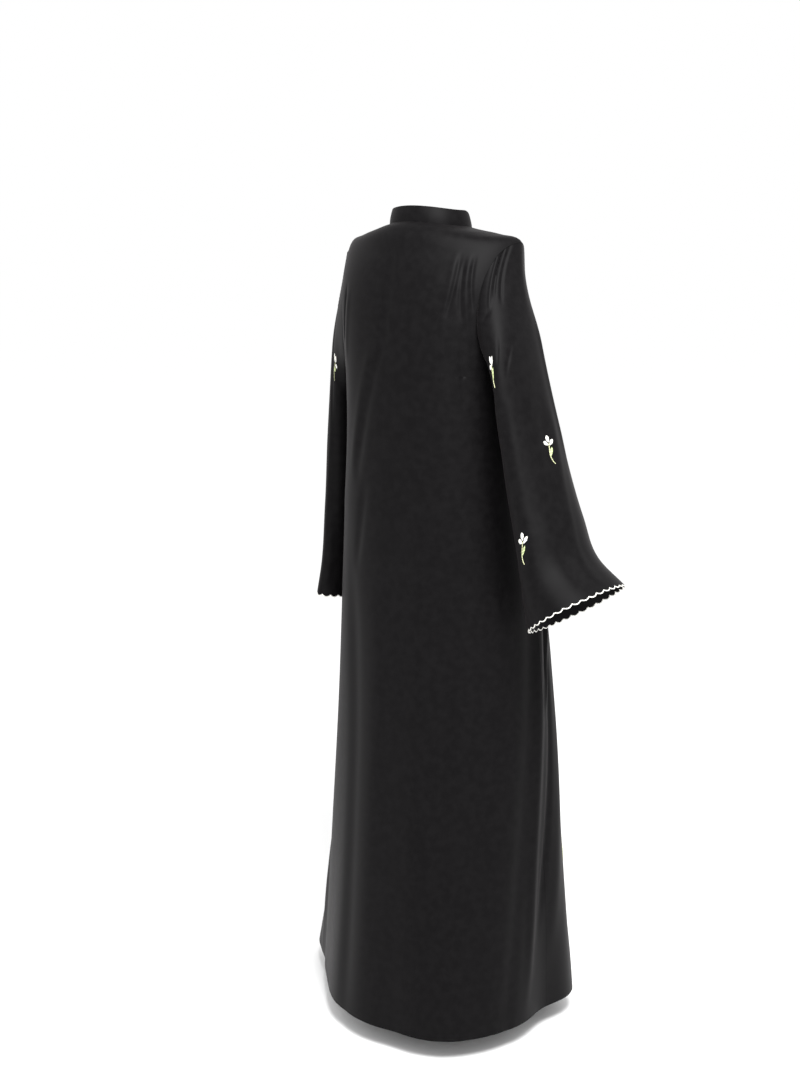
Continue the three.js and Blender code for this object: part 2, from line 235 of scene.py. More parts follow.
def armhole_point(turn, side):
    """A point on the armhole's edge, on the back for turns up to 180 degrees."""
    on_back = np.sin(np.radians(turn)) >= 0
    into_back = armhole_cut(turn, ARMHOLE_INTO_BACK)
    into_front = armhole_cut(turn, ARMHOLE_INTO_FRONT)
    cut = np.where(on_back, -into_back, into_front)
    return body_point(side * (90 + cut), armhole_level(turn))


def sleeve_oval(turn, along, side):
    """An oval between the outer and the inner line of the arm, with its own reach to each face."""
    outer_x, outer_z, inner_x, inner_z, middle_y, back, front = read_table(SLEEVES[side], along)
    cos, sin = np.cos(np.radians(turn)), np.sin(np.radians(turn))
    x = (outer_x + inner_x) / 2 + (outer_x - inner_x) / 2 * cos
    y = middle_y + np.where(sin >= 0, back, front) * sin
    z = (outer_z + inner_z) / 2 + (outer_z - inner_z) / 2 * cos
    return np.stack([side * x, y, z], -1)


def sleeve_point(turn, along, side):
    """The sleeve's oval, eased into the armhole's edge over the sleeve head."""
    turn, along = np.broadcast_arrays(np.asarray(turn, float), np.asarray(along, float))
    ease = armhole_point(turn, side) - sleeve_oval(turn, np.zeros_like(along), side)
    return sleeve_oval(turn, along, side) + ease * (1 - smooth_step(along / SLEEVE_HEAD))[..., None]


print("cuff middle, right:", sleeve_point(np.arange(0, 360, 30.0), 1.0, -1).mean(0).round())

# %% [markdown]
# ## Folds
# Crepe hangs in long soft folds. The cloth simulator can make them, but it won't put them where
# this cloak has them. So each fold is a row in a table: where its line starts and ends, how wide
# it is and how deep. Across its line it is a bell curve, and it fades out at both ends.

# %% A fold's bell curve
def fold_depth(across, down, folds):
    """Millimetres outwards. Each fold runs straight from (across, down) to (across, down), bends
    by its bow in the middle, and has exp(-(distance / width)^2) across and a soft fade at its ends."""
    total = np.zeros_like(across)
    for from_across, from_down, to_across, to_down, bow, width, depth, fade in folds:
        t = (down - from_down) / (to_down - from_down)
        inside = np.clip(t, 0, 1)
        line = from_across + (to_across - from_across) * inside + bow * 4 * inside * (1 - inside)
        lean = (to_across - from_across) / (to_down - from_down)
        distance = (across - line) / np.sqrt(1 + lean**2)
        length = abs(to_down - from_down)
        ends = smooth_step(t * length / fade + 0.5) * smooth_step((1 - t) * length / fade + 0.5)
        total += depth * ends * np.exp(-((distance / width) ** 2))
    return total


# The body's folds. Across is the way along the cloth from the middle of the back towards the
# wearer's left, and down is the depth below the neck, both in millimetres.
# from across, from down, to across, to down, bow, width, depth, fade
BODY_FOLDS = [
    # the pulls from the right shoulder blade to the armhole
    (-120, 55, -106, 150, -3, 4.5, -2.6, 30),
    (-113, 50, -98, 165, -3, 7.0, 1.4, 40),
    (-129, 62, -131, 150, 2, 4.0, -2.2, 30),
    (-137, 58, -144, 170, 3, 5.0, 1.6, 40),
    (-146, 56, -152, 140, 3, 3.8, -2.4, 30),
    (-134, 190, -140, 300, 3, 6.0, -1.6, 60),
    # the long slack fold below the left shoulder blade
    (12, 40, 20, 195, -4, 9.0, -2.0, 70),
    (20, 195, 88, 430, 6, 12.0, -3.2, 90),
    (34, 190, 104, 430, 6, 14.0, 1.8, 90),
    (66, 470, 92, 600, 0, 11.0, -2.4, 70),
    # two pulls beside the left armhole
    (132, 110, 142, 200, 2, 4.5, -2.2, 30),
    (120, 120, 130, 230, 0, 7.0, 1.2, 40),
    # long soft folds of the back of the skirt
    (-60, 560, -80, 1438, 0, 26.0, 2.6, 300),
    (-150, 620, -190, 1438, 0, 24.0, 2.2, 300),
    (-112, 700, -140, 1438, 0, 18.0, -2.2, 300),
    (110, 640, 60, 1438, 0, 22.0, -3.4, 260),
    (40, 700, 10, 1438, 0, 24.0, 2.0, 300),
    # the right side: a standing ridge, the sharp tuck beside it and its fading end
    (-306, 640, -352, 1350, 6, 13.0, 5.5, 200),
    (-328, 600, -336, 820, -4, 6.0, -6.0, 80),
    (-352, 620, -338, 860, 0, 8.0, 5.0, 90),
    (-345, 760, -372, 1240, -6, 9.0, -4.2, 160),
    (-392, 700, -420, 1300, 0, 20.0, 3.5, 200),
    (-280, 620, -300, 1438, 0, 16.0, -2.6, 260),
    # the left side, much the same
    (300, 620, 340, 1380, 0, 15.0, 4.5, 220),
    (326, 640, 360, 1250, 0, 10.0, -4.5, 160),
    (270, 640, 300, 1438, 0, 16.0, -2.6, 260),
    # the fronts hang in a few long folds
    (-470, 300, -540, 1438, 0, 18.0, 4.0, 260),
    (-500, 420, -590, 1438, 0, 16.0, -4.0, 260),
    (470, 320, 530, 1438, 0, 20.0, 3.6, 260),
    (505, 460, 580, 1438, 0, 16.0, -4.2, 260),
    (-400, 110, -380, 230, 0, 7.0, -2.0, 50),
    (400, 110, 382, 230, 0, 7.0, -2.0, 50),
]
# The sleeves' folds. Across is the way round the sleeve from the outer line towards the back, and
# down is the way from the armhole to the cuff.
SLEEVE_FOLDS = {
    -1: [
        (36, -10, 78, 70, 3, 3.6, -2.6, 24),
        (50, -10, 98, 74, 3, 4.2, 1.8, 24),
        (22, -8, 62, 96, 4, 4.0, -2.4, 30),
        (102, 84, 130, 64, 0, 5.0, -2.4, 20),
        (62, 186, 84, 214, 0, 5.0, -2.2, 26),
        (96, 150, 110, 176, 0, 4.0, -1.4, 20),
        (-34, 150, -40, 380, 0, 10.0, 2.6, 90),
        (-8, 330, 30, 640, 4, 13.0, 2.2, 120),
        (18, 300, 62, 660, 4, 12.0, -1.6, 120),
        (90, 260, 128, 660, -4, 16.0, 1.6, 140),
        (150, 240, 190, 660, 0, 18.0, -2.2, 140),
        (-80, 60, -110, 200, 0, 8.0, -2.2, 50),
        (-90, 240, -150, 660, 0, 18.0, -2.4, 140),
        (-60, 300, -70, 660, 0, 14.0, 2.4, 140),
    ],
    1: [
        (30, -10, 66, 80, 3, 4.0, -2.4, 24),
        (48, -10, 86, 90, 3, 5.0, 1.6, 24),
        (70, 60, 88, 300, 0, 9.0, -2.2, 90),
        (52, 120, 60, 420, 0, 10.0, 1.8, 120),
        (100, 200, 110, 660, 0, 14.0, -2.0, 160),
        (20, 260, 24, 660, 0, 12.0, -1.8, 160),
        (-70, 60, -90, 220, 0, 8.0, -2.2, 50),
        (-80, 240, -110, 660, 0, 16.0, -2.2, 140),
    ],
}
print("folds on the body:", len(BODY_FOLDS))
print("folds on the sleeves:", [len(folds) for folds in SLEEVE_FOLDS.values()])

# %% [markdown]
# ## From a grid of points to a wall of cloth
# A sheet with no thickness shows its back faces at every opening, so each piece is a closed wall:
# the outer grid, the same grid moved in along its normals, and narrow strips along the edges. The
# Solidify modifier does much the same, but here the seam edges have to stay exactly where they are.

# %% Unit vectors, lengths and the closed wall
SHARP_EDGE = np.radians(50)


def unit(vectors):
    """The vectors at length 1."""
    return vectors / np.linalg.norm(vectors, axis=-1, keepdims=True)


def lengths_across(points):
    """The way along each row of a grid from its first column."""
    step = np.linalg.norm(np.diff(points, axis=1), axis=-1)
    return np.concatenate([np.zeros((len(points), 1)), np.cumsum(step, axis=1)], axis=1)


def wall_mesh(name, outer, inner, uv, is_tube=False):
    """A closed mesh from two grids in millimetres: outer faces, inner faces the other way round,
    and a strip along each open edge. The UV map holds metres across and down the cloth."""
    rows, columns = outer.shape[:2]
    index = np.arange(rows * columns).reshape(rows, columns)
    if is_tube:
        index = np.hstack([index, index[:, :1]])
    a, b, c, d = index[:-1, :-1], index[:-1, 1:], index[1:, 1:], index[1:, :-1]
    skin = np.stack([a, b, c, d], -1).reshape(-1, 4)
    back = rows * columns
    quads = [skin, skin[:, ::-1] + back]
    rims = [(index[0, 1:], index[0, :-1]), (index[-1, :-1], index[-1, 1:])]
    if not is_tube:
        rims += [(index[:-1, 0], index[1:, 0]), (index[1:, -1], index[:-1, -1])]
    for start, end in rims:
        quads.append(np.stack([start, end, end + back, start + back], -1).reshape(-1, 4))
    quads = np.concatenate(quads)
    points = np.concatenate([outer.reshape(-1, 3), inner.reshape(-1, 3)]) * MM
    corner = points[quads]
    volume = np.einsum("ij,ij->", corner[:, 0], np.cross(corner[:, 1], corner[:, 2]))
    volume += np.einsum("ij,ij->", corner[:, 0], np.cross(corner[:, 2], corner[:, 3]))
    if volume < 0:
        quads = quads[:, ::-1]
    mesh = bpy.data.meshes.new(name)
    mesh.vertices.add(len(points))
    mesh.vertices.foreach_set("co", points.ravel())
    mesh.loops.add(quads.size)
    mesh.loops.foreach_set("vertex_index", quads.ravel().astype(np.int32))
    mesh.polygons.add(len(quads))
    mesh.polygons.foreach_set("loop_start", np.arange(0, quads.size, 4, dtype=np.int32))
    mesh.update(calc_edges=True)
    flat = np.concatenate([uv.reshape(-1, 2)] * 2) * MM
    layer = mesh.uv_layers.new(name="cloth")
    layer.data.foreach_set("uv", flat[quads.ravel()].ravel())
    mesh.polygons.foreach_set("use_smooth", np.ones(len(quads), bool))
    mesh.set_sharp_from_angle(angle=SHARP_EDGE)
    mesh.validate()
    piece = bpy.data.objects.new(name, mesh)
    bpy.context.collection.objects.link(piece)
    return piece


def report(piece):
    """Prints and returns how many triangles a piece has."""
    triangles = sum(len(polygon.vertices) - 2 for polygon in piece.data.polygons)
    print(piece.name, "triangles:", triangles)
    return triangles


print("a unit vector along (3, 4, 0):", unit(np.array([3.0, 4.0, 0.0])))


# %% [markdown]
# ## The materials
# The cloth is a black polyester crepe, woven from hard-twisted yarns. They break up the light, so
# it is matt, with a weak broad sheen where it turns away, and a plain dark gloss would look wet.
# The thread is rayon, laid in satin stitch: bright, smooth and a little glossy. Both patterns are
# procedural, so they need no picture and keep their scale on every piece.

# %% One helper for nodes, and colours from hex
def linear(hex_colour):
    """An sRGB hex colour as linear red, green, blue and alpha."""
    value = np.array([int(hex_colour[i : i + 2], 16) for i in (1, 3, 5)]) / 255
    value = np.where(value <= 0.04045, value / 12.92, ((value + 0.055) / 1.055) ** 2.4)
    return (*value.tolist(), 1.0)


def add_node(tree, kind, links=None, **settings):
    """Adds a node. A setting is a property or, where there is none, a socket's value, and links
    name this node's input sockets and the output socket that feeds each."""
    node = tree.nodes.new(kind)
    for name, value in settings.items():
        if hasattr(node, name):
            setattr(node, name, value)
        else:
            node.inputs[name.replace("_", " ")].default_value = value
    for socket, source in (links or {}).items():
        tree.links.new(source, node.inputs[socket])
    return node


def new_material(name):
    """An empty node material and its tree."""
    material = bpy.data.materials.new(name)
    material.use_nodes = True
    material.node_tree.nodes.clear()
    return material, material.node_tree


print("mid grey, linear:", linear("#808080"))


# %% Black crepe
CREPE_GRAIN_MM = 0.9     # real crepe pebbles are about 0.3 mm: drawn coarser so that they show
CREPE_SLUB_MM = 14.0     # slow changes of sheen over the cloth
CREPE_DARK = "#080708"
CREPE_LIGHT = "#0d0c0d"


def black_crepe():
    """Matt black with a fine pebbled grain, and a sheen that wanders slowly over the cloth."""
    material, tree = new_material("black_polyester_crepe")
    place = add_node(tree, "ShaderNodeTexCoord")
    grain = add_node(tree, "ShaderNodeTexNoise", {"Vector": place.outputs["Object"]},
                     Scale=1 / (CREPE_GRAIN_MM * MM), Detail=3.0, Roughness=0.6)
    slub = add_node(tree, "ShaderNodeTexNoise", {"Vector": place.outputs["Object"]},
                    Scale=1 / (CREPE_SLUB_MM * MM), Detail=2.0, Roughness=0.5)
    colour = add_node(tree, "ShaderNodeValToRGB", {"Fac": slub.outputs["Fac"]})
    colour.color_ramp.elements[0].position = 0.35
    colour.color_ramp.elements[0].color = linear(CREPE_DARK)
    colour.color_ramp.elements[1].position = 0.68
    colour.color_ramp.elements[1].color = linear(CREPE_LIGHT)
    rough = add_node(tree, "ShaderNodeMapRange", {"Value": slub.outputs["Fac"]})
    rough.inputs["To Min"].default_value = 0.50
    rough.inputs["To Max"].default_value = 0.60
    bump = add_node(tree, "ShaderNodeBump", {"Height": grain.outputs["Fac"]},
                    Strength=0.16, Distance=0.25 * MM)
    shader = add_node(tree, "ShaderNodeBsdfPrincipled",
                      {"Base Color": colour.outputs["Color"], "Roughness": rough.outputs["Result"],
                       "Normal": bump.outputs["Normal"]})
    shader.inputs["IOR"].default_value = 1.5
    # the pebbled yarns trap most of the mirror light, so little is left of a smooth fibre's
    shader.inputs["Specular IOR Level"].default_value = 0.07
    shader.inputs["Sheen Weight"].default_value = 0.04
    shader.inputs["Sheen Roughness"].default_value = 0.4
    shader.inputs["Sheen Tint"].default_value = linear("#cfc6c9")
    add_node(tree, "ShaderNodeOutputMaterial", {"Surface": shader.outputs["BSDF"]})
    return material


crepe = black_crepe()
print("made", crepe.name)

# %% Satin-stitched thread
BUNDLE_MM = 4.4          # single 0.3 mm threads are too fine to show: these are bundles of them
THREAD_RELIEF_MM = 0.2
WAVE_PERIOD = np.pi / 10     # the wave node's own period at scale 1


def satin_thread(name, dark, light):
    """Rayon thread in bundles: soft bands across the piece's own UV map, darker with painted shade
    between the bundles, with a low gloss.
    """
    material, tree = new_material(name)
    place = add_node(tree, "ShaderNodeUVMap", uv_map="cloth")
    bands = add_node(tree, "ShaderNodeTexWave", {"Vector": place.outputs["UV"]},
                     Scale=WAVE_PERIOD / (BUNDLE_MM * MM), Distortion=1.2, Detail=1.0)
    # painted shade: the thread's own colour is the light end, and it darkens in the hollows between
    # bundles, where the bump is low
    colour = add_node(tree, "ShaderNodeValToRGB", {"Fac": bands.outputs["Fac"]})
    colour.color_ramp.elements[0].color = linear(dark)
    colour.color_ramp.elements[1].color = linear(light)
    bump = add_node(tree, "ShaderNodeBump", {"Height": bands.outputs["Fac"]},
                    Strength=0.5, Distance=THREAD_RELIEF_MM * MM)
    shader = add_node(tree, "ShaderNodeBsdfPrincipled",
                      {"Base Color": colour.outputs["Color"], "Normal": bump.outputs["Normal"]})
    shader.inputs["Roughness"].default_value = 0.42
    shader.inputs["Sheen Weight"].default_value = 0.2
    add_node(tree, "ShaderNodeOutputMaterial", {"Surface": shader.outputs["BSDF"]})
    return material


white_thread = satin_thread("white_rayon_thread", "#c9c7be", "#f6f5f0")
leaf_thread = satin_thread("leaf_green_rayon_thread", "#8f9f6a", "#c3cd97")
stem_thread = satin_thread("pale_stem_rayon_thread", "#a5a97c", "#d5d6ab")
print("threads:", white_thread.name, leaf_thread.name, stem_thread.name)

# %% [markdown]
# ## The body panels
# The back and the two fronts are stretches of one surface, so a fold that crosses a side seam
# carries on. Each grid follows the armhole's edge on the way down, as the cut does.

# %% Rows of the panels and the edges of the fronts
CLOTH = 1.2              # drawn thickness of the crepe wall, within the solid's own wall
SEAM = 0.4               # gap between two sewn edges
ROWS_YOKE = 16
ROWS_ARMHOLE = 72
ROWS_SKIRT = 170


def panel_levels():
    """The level of each row of a panel and the turn round the armhole there, or none."""
    yoke = np.linspace(0, SHOULDER_LEVEL, ROWS_YOKE, endpoint=False)
    turns = np.linspace(0, 180, ROWS_ARMHOLE)
    skirt = np.linspace(UNDERARM_LEVEL, HEM_LEVEL, ROWS_SKIRT + 1)[1:]
    level = np.concatenate([yoke, armhole_level(turns), skirt])
    turn = np.concatenate([np.zeros(len(yoke)), turns, np.full(len(skirt), 180.0)])
    return level, turn


def half_front_gap(z):
    """Half the gap between the fronts: narrow at the neck, and wider below the chest."""
    parted = np.clip((z - FRONT_GAP_STARTS) / (HEM_Z - FRONT_GAP_STARTS), 0, 1)
    return (FRONT_GAP_AT_NECK + (FRONT_GAP_AT_HEM - FRONT_GAP_AT_NECK) * parted**1.5) / 2


def front_edge_angle(level):
    """The angle at which a front ends beside the middle of the front."""
    table = read_table(GIRTHS, level)
    share = half_front_gap(table[2]) / table[3]
    return 180 - np.degrees(np.arcsin(share ** (table[8] / 2)))


print("rows of a panel:", len(panel_levels()[0]))

# %% The body with its folds
GUIDE = np.linspace(-180, 180, 361)      # one point a degree
GUIDE_MIDDLE = len(GUIDE) // 2
NORMAL_ANGLE = 0.5                       # degrees to each side, to measure a normal
NORMAL_LEVEL = 0.04                      # levels up and down, to measure a normal
CALM_FROM = 0.2                          # no folds above this level, because of the collar
CALM_OVER = 0.8


def folded_body(angle, level):
    """The body's surface with its folds. Across is measured along each row from the middle of the
    back, over a fine row that every panel shares, so that the seams stay closed."""
    level = level[:, None]
    way = lengths_across(body_point(GUIDE[None, :], level))
    way = way - way[:, GUIDE_MIDDLE, None]
    across = np.stack([np.interp(a, GUIDE, w) for a, w in zip(angle, way)])
    points = body_point(angle, level)
    side_step = body_point(angle + NORMAL_ANGLE, level) - body_point(angle - NORMAL_ANGLE, level)
    low = np.clip(level - NORMAL_LEVEL, 0, HEM_LEVEL)
    high = np.clip(level + NORMAL_LEVEL, 0, HEM_LEVEL)
    normal = unit(np.cross(side_step, body_point(angle, high) - body_point(angle, low)))
    depth = fold_depth(across, -points[..., 2], BODY_FOLDS)
    calm = smooth_step((level - CALM_FROM) / CALM_OVER)
    return points + normal * (depth * calm)[..., None], normal, across


# %% The back and the two fronts
BACK_COLUMNS = 180
FRONT_COLUMNS = 90


def body_panel(name, from_angle, to_angle, columns):
    """One panel between two angles that may change from row to row."""
    level, turn = panel_levels()
    share = np.linspace(0, 1, columns)[None, :]
    start, end = from_angle(level, turn), to_angle(level, turn)
    angle = start[:, None] + (end - start)[:, None] * share
    points, normal, across = folded_body(angle, level)
    for edge, neighbour in ((0, 1), (-1, -2)):
        points[:, edge] += unit(points[:, neighbour] - points[:, edge]) * SEAM / 2
    uv = np.stack([across, -points[..., 2]], -1)
    piece = wall_mesh(name, points, points - normal * CLOTH, uv)
    piece.data.materials.append(crepe)
    return piece


back = body_panel(
    "back_cloth",
    lambda level, turn: armhole_cut(turn, ARMHOLE_INTO_BACK) - 90,
    lambda level, turn: 90 - armhole_cut(turn, ARMHOLE_INTO_BACK), BACK_COLUMNS)
left = body_panel(
    "front_left_cloth",
    lambda level, turn: 90 + armhole_cut(turn, ARMHOLE_INTO_FRONT),
    lambda level, turn: front_edge_angle(level), FRONT_COLUMNS)
right = body_panel(
    "front_right_cloth",
    lambda level, turn: -front_edge_angle(level),
    lambda level, turn: -90 - armhole_cut(turn, ARMHOLE_INTO_FRONT), FRONT_COLUMNS)
total = sum(report(piece) for piece in (back, left, right))

# %% [markdown]
# ## The bell sleeves
# Each sleeve is one piece closed by an underarm seam, so it is a tube. Its rings start on the
# armhole's edge and end at the cuff, whose edge is cut in scallops: the last rows of the tube
# simply reach further down in the middle of each scallop.

# %% Sleeves with scalloped cuffs
SCALLOP_PITCH = 16.5
SCALLOP_DEPTH = 4.5
SCALLOP_BASE = 2.5
EDGE_WIDTH = 2.4
CUFF_ROWS = 6
SLEEVE_ROWS = 120
SLEEVE_COLUMNS = 200
NORMAL_TURN = 3          # degrees to each side, to measure a normal
NORMAL_ALONG = 0.01      # shares of the sleeve up and down, to measure a normal


def scallop(way, whole):
    """How much lower the edge is at a way round the cuff: |sin| to a soft power, once per scallop."""
    count = np.round(whole / SCALLOP_PITCH)
    return np.abs(np.sin(np.pi * count * way / whole)) ** 0.8


def folded_sleeve(turn, along, side):
    """The sleeve's surface with its folds, and its outward normal."""
    points = sleeve_point(turn, along, side)
    after = sleeve_point(turn + NORMAL_TURN, along, side)
    before = sleeve_point(turn - NORMAL_TURN, along, side)
    low = np.clip(along - NORMAL_ALONG, 0, 1)
    high = np.clip(along + NORMAL_ALONG, 0, 1)
    down = sleeve_point(turn, high, side) - sleeve_point(turn, low, side)
    normal = unit(np.cross(after - before, down) * -side)
    way = lengths_across(sleeve_point(GUIDE[None, :], along[:, :1], side))
    way = way - way[:, GUIDE_MIDDLE, None]
    across = np.stack([np.interp((a + 180) % 360 - 180, GUIDE, w) for a, w in zip(turn, way)])
    depth = fold_depth(across, along * SLEEVE_LENGTH, SLEEVE_FOLDS[side])
    return points + normal * depth[..., None], normal, across


def sleeve(name, side):
    """A tube of cloth with extra rows past the cuff, where the scallops are cut."""
    turns = np.linspace(0, 360, SLEEVE_COLUMNS, endpoint=False)
    along, turn = np.meshgrid(np.linspace(0, 1, SLEEVE_ROWS), turns, indexing="ij")
    points, normal, across = folded_sleeve(turn, along, side)
    points[0] += unit(points[1] - points[0]) * SEAM
    rim = points[-1]
    ring = np.vstack([rim, rim[:1]])
    way = lengths_across(ring[None])[0]
    whole = way[-1]
    down = unit(points[-1] - points[-3])
    depth = SCALLOP_BASE + SCALLOP_DEPTH * scallop(way[:-1], whole) - EDGE_WIDTH / 2
    extra = np.linspace(0, 1, CUFF_ROWS + 1)[1:, None] * depth[None, :]
    tail = rim[None] + down[None] * extra[..., None]
    points = np.concatenate([points, tail])
    normal = np.concatenate([normal, np.repeat(normal[-1:], CUFF_ROWS, axis=0)])
    uv = np.stack([np.concatenate([across, np.repeat(across[-1:], CUFF_ROWS, axis=0)]),
                   np.concatenate([along * SLEEVE_LENGTH, SLEEVE_LENGTH + extra])], -1)
    piece = wall_mesh(name, points, points - normal * CLOTH, uv, is_tube=True)
    piece.data.materials.append(crepe)
    return piece, points, normal


SIDES = {-1: "right", 1: "left"}
sleeves = {}
sleeve_grids = {}
for side, word in SIDES.items():
    piece, points, normal = sleeve(f"sleeve_{word}_cloth", side)
    sleeves[side] = piece
    sleeve_grids[side] = (points, normal)
    total += report(piece)

# %% [markdown]
# ## The white scalloped edge
# The edge is bound with white satin stitch. It is a soft round cord of thread along the scalloped
# line: a profile carried along a path, which is a grid again, round the cord and along the cuff.

# %% A closed cord and a mesh from points
CORD_SIDES = 8
CORD_STEPS = 1200
CORD_FLATNESS = 0.62     # the cord is laid flat by the needle
CORD_OVERLAP = 0.3       # how much of its width hangs past the middle of the cut edge


def cord_mesh(path, thickness, normals):
    """A cord along a closed path: centre + r * (cos * across + sin * flatness * normal)."""
    step = np.roll(path, -1, 0) - np.roll(path, 1, 0)
    across = unit(np.cross(normals, step))
    turn = np.linspace(0, 2 * np.pi, CORD_SIDES, endpoint=False)
    ring = (np.cos(turn)[None, :, None] * across[:, None]
            + np.sin(turn)[None, :, None] * CORD_FLATNESS * normals[:, None])
    points = (path[:, None] + ring * thickness / 2) * MM
    index = np.arange(len(path) * CORD_SIDES).reshape(len(path), CORD_SIDES)
    index = np.hstack([index, index[:, :1]])
    index = np.vstack([index, index[:1]])
    quads = np.stack([index[:-1, :-1], index[:-1, 1:], index[1:, 1:], index[1:, :-1]], -1)
    return points.reshape(-1, 3), [tuple(face) for face in quads.reshape(-1, 4).tolist()]


def piece_from(name, points, faces, uv, material):
    """A smooth mesh object from points, faces and a UV for each point, with outward faces."""
    mesh = bpy.data.meshes.new(name)
    mesh.from_pydata(points.tolist(), [], faces)
    layer = mesh.uv_layers.new(name="cloth")
    corners = np.empty(len(mesh.loops), np.int32)
    mesh.loops.foreach_get("vertex_index", corners)
    layer.data.foreach_set("uv", uv[corners].ravel())
    mesh.polygons.foreach_set("use_smooth", np.ones(len(mesh.polygons), bool))
    corner = points[np.array(faces)[:, :3]]
    if np.einsum("ij,ij->", corner[:, 0], np.cross(corner[:, 1], corner[:, 2])) < 0:
        mesh.flip_normals()
    mesh.materials.append(material)
    piece = bpy.data.objects.new(name, mesh)
    bpy.context.collection.objects.link(piece)
    return piece


# %% Cuff edging
def resampled(values, way, fine):
    """The values of a closed line at finer places along it."""
    ring = np.vstack([values, values[:1]])
    return np.stack([np.interp(fine, way, ring[:, k]) for k in range(3)], -1)


def edging(name, side):
    """The cord of white thread that follows the scalloped edge of a cuff."""
    points, normal = sleeve_grids[side]
    rim = points[-1]
    way = lengths_across(np.vstack([rim, rim[:1]])[None])[0]
    fine = np.linspace(0, way[-1], CORD_STEPS, endpoint=False)
    down = resampled(unit(rim - points[-2]), way, fine)
    outward = unit(resampled(normal[-1], way, fine))
    path = resampled(rim, way, fine) + down * EDGE_WIDTH * CORD_OVERLAP
    cord, faces = cord_mesh(path - outward * CLOTH / 2, EDGE_WIDTH, outward)
    around = np.tile(np.arange(CORD_SIDES) * EDGE_WIDTH, CORD_STEPS)
    uv = np.stack([np.repeat(fine, CORD_SIDES), around], -1) * MM
    return piece_from(name, cord, faces, uv, white_thread)


edgings = {side: edging(f"cuff_edging_{word}", side) for side, word in SIDES.items()}
total += sum(report(piece) for piece in edgings.values())

# %% [markdown]
# ## The band collar
# The collar is a straight band of doubled crepe. It stands on the neck ring and leans in a little.
# A box bent by a curve would do, but rings on the neck's own oval keep it on its seam. A small
# bevel rounds its folded upper edge.

# %% Collar
COLLAR_HEIGHT = 28.0
COLLAR_LEAN = 5.0
COLLAR_WALL = 2.4
COLLAR_SUNK = -1.2       # the band's lower edge sits just inside the neck seam
COLLAR_BULGE = 0.8      # how far the middle of the band bulges out
COLLAR_ROLL = 1.3        # the lean grows towards the top
COLLAR_SOFT_EDGE = 0.7
COLLAR_ROWS = 14
COLLAR_COLUMNS = 240


def collar_ring(angle, lift, inset):
    """The neck ring lifted and moved in."""
    points = body_point(angle, 0.0)
    out = unit(points * [1, 1, 0])
    return points - out * inset + np.array([0, 0, lift])


def collar(name):
    """Rings from the upper to the lower edge: lean * u^roll in, and a low bulge sin(pi u) out."""
    end = front_edge_angle(np.array([0.0]))[0]
    angle = np.linspace(-end, end, COLLAR_COLUMNS)
    t = np.linspace(0, 1, COLLAR_ROWS)
    rings = [(COLLAR_SUNK + (COLLAR_HEIGHT - COLLAR_SUNK) * u,
              COLLAR_LEAN * u**COLLAR_ROLL - COLLAR_BULGE * np.sin(np.pi * u)) for u in t[::-1]]
    outer = np.stack([collar_ring(angle, lift, inset) for lift, inset in rings])
    inner = np.stack([collar_ring(angle, lift, inset + COLLAR_WALL) for lift, inset in rings])
    way = lengths_across(outer)
    uv = np.stack([way, np.repeat((t * COLLAR_HEIGHT)[:, None], COLLAR_COLUMNS, 1)], -1)
    piece = wall_mesh(name, outer, inner, uv)
    piece.data.materials.append(crepe)
    bevel = piece.modifiers.new("soft_edge", "BEVEL")
    bevel.width = COLLAR_SOFT_EDGE * MM
    bevel.segments = 3
    bevel.limit_method = "ANGLE"
    bevel.angle_limit = SHARP_EDGE
    return piece


collar_band = collar("collar_cloth")
total += report(collar_band)

# %% [markdown]
# ## The embroidered sprigs
# Each sprig has three white buds in satin stitch on a fine curved stem, with one green leaf. A
# painted pattern would lie flat, so the motif is real geometry: padded leaf shapes and a narrow
# band, drawn in millimetres on a flat sheet and then laid on the cloth by the surface functions.

# %% The flat motif
# tip x, tip y, length, width, tilt from upright in degrees
BUDS = [
    (0.5, 27.5, 13.5, 7.4, -4.0),
    (-11.5, 17.5, 13.5, 6.8, 50.0),
    (11.5, 19.5, 13.5, 6.8, -46.0),
]
STEM = [(0.0, 13.0), (1.6, 6.0), (3.6, -2.0), (4.4, -10.0), (2.2, -19.0), (-1.2, -25.0)]
STEM_WIDTH = 1.5
STEM_HEIGHT = 0.7
LEAF = (-4.6, 5.0, 17.0, 5.4, 28.0)
LEAF_HEIGHT = 1.1
LEAF_FULLNESS = 0.25     # how much wider a leaf is near its tip than near its foot


def leaf_shape(tip_x, tip_y, length, width, tilt, along=18, across=9):
    """A padded leaf: half width * sin(pi t)^0.8 * (1 + fullness * cos(pi t)) on each side of its
    midrib, raised by sqrt(1 - s^2), pointed at both ends. The tilt turns it about its tip."""
    t = np.linspace(0.0, 1.0, along)[:, None]
    s = np.linspace(-1, 1, across)[None, :]
    point = np.sin(np.pi * np.clip(t, 0.001, 0.999)) ** 0.8
    half = width / 2 * point * (1 + LEAF_FULLNESS * np.cos(np.pi * t))
    x, y = s * half, -t * length + 0 * s
    lift = LEAF_HEIGHT * np.sqrt(np.clip(1 - s**2, 0, 1)) * np.sin(np.pi * t) ** 0.5
    turn = np.radians(tilt)
    flat_x = tip_x + x * np.cos(turn) - y * np.sin(turn)
    flat_y = tip_y + x * np.sin(turn) + y * np.cos(turn)
    return np.stack([flat_x, flat_y, lift + 0 * x], -1)


def smooth_path(knots, count):
    """The tables' cubic through given knots."""
    knots = np.array(knots, float)
    key = np.arange(len(knots), dtype=float)
    table = np.column_stack([key, knots])
    return np.stack(read_table(table, np.linspace(0, key[-1], count)), -1)


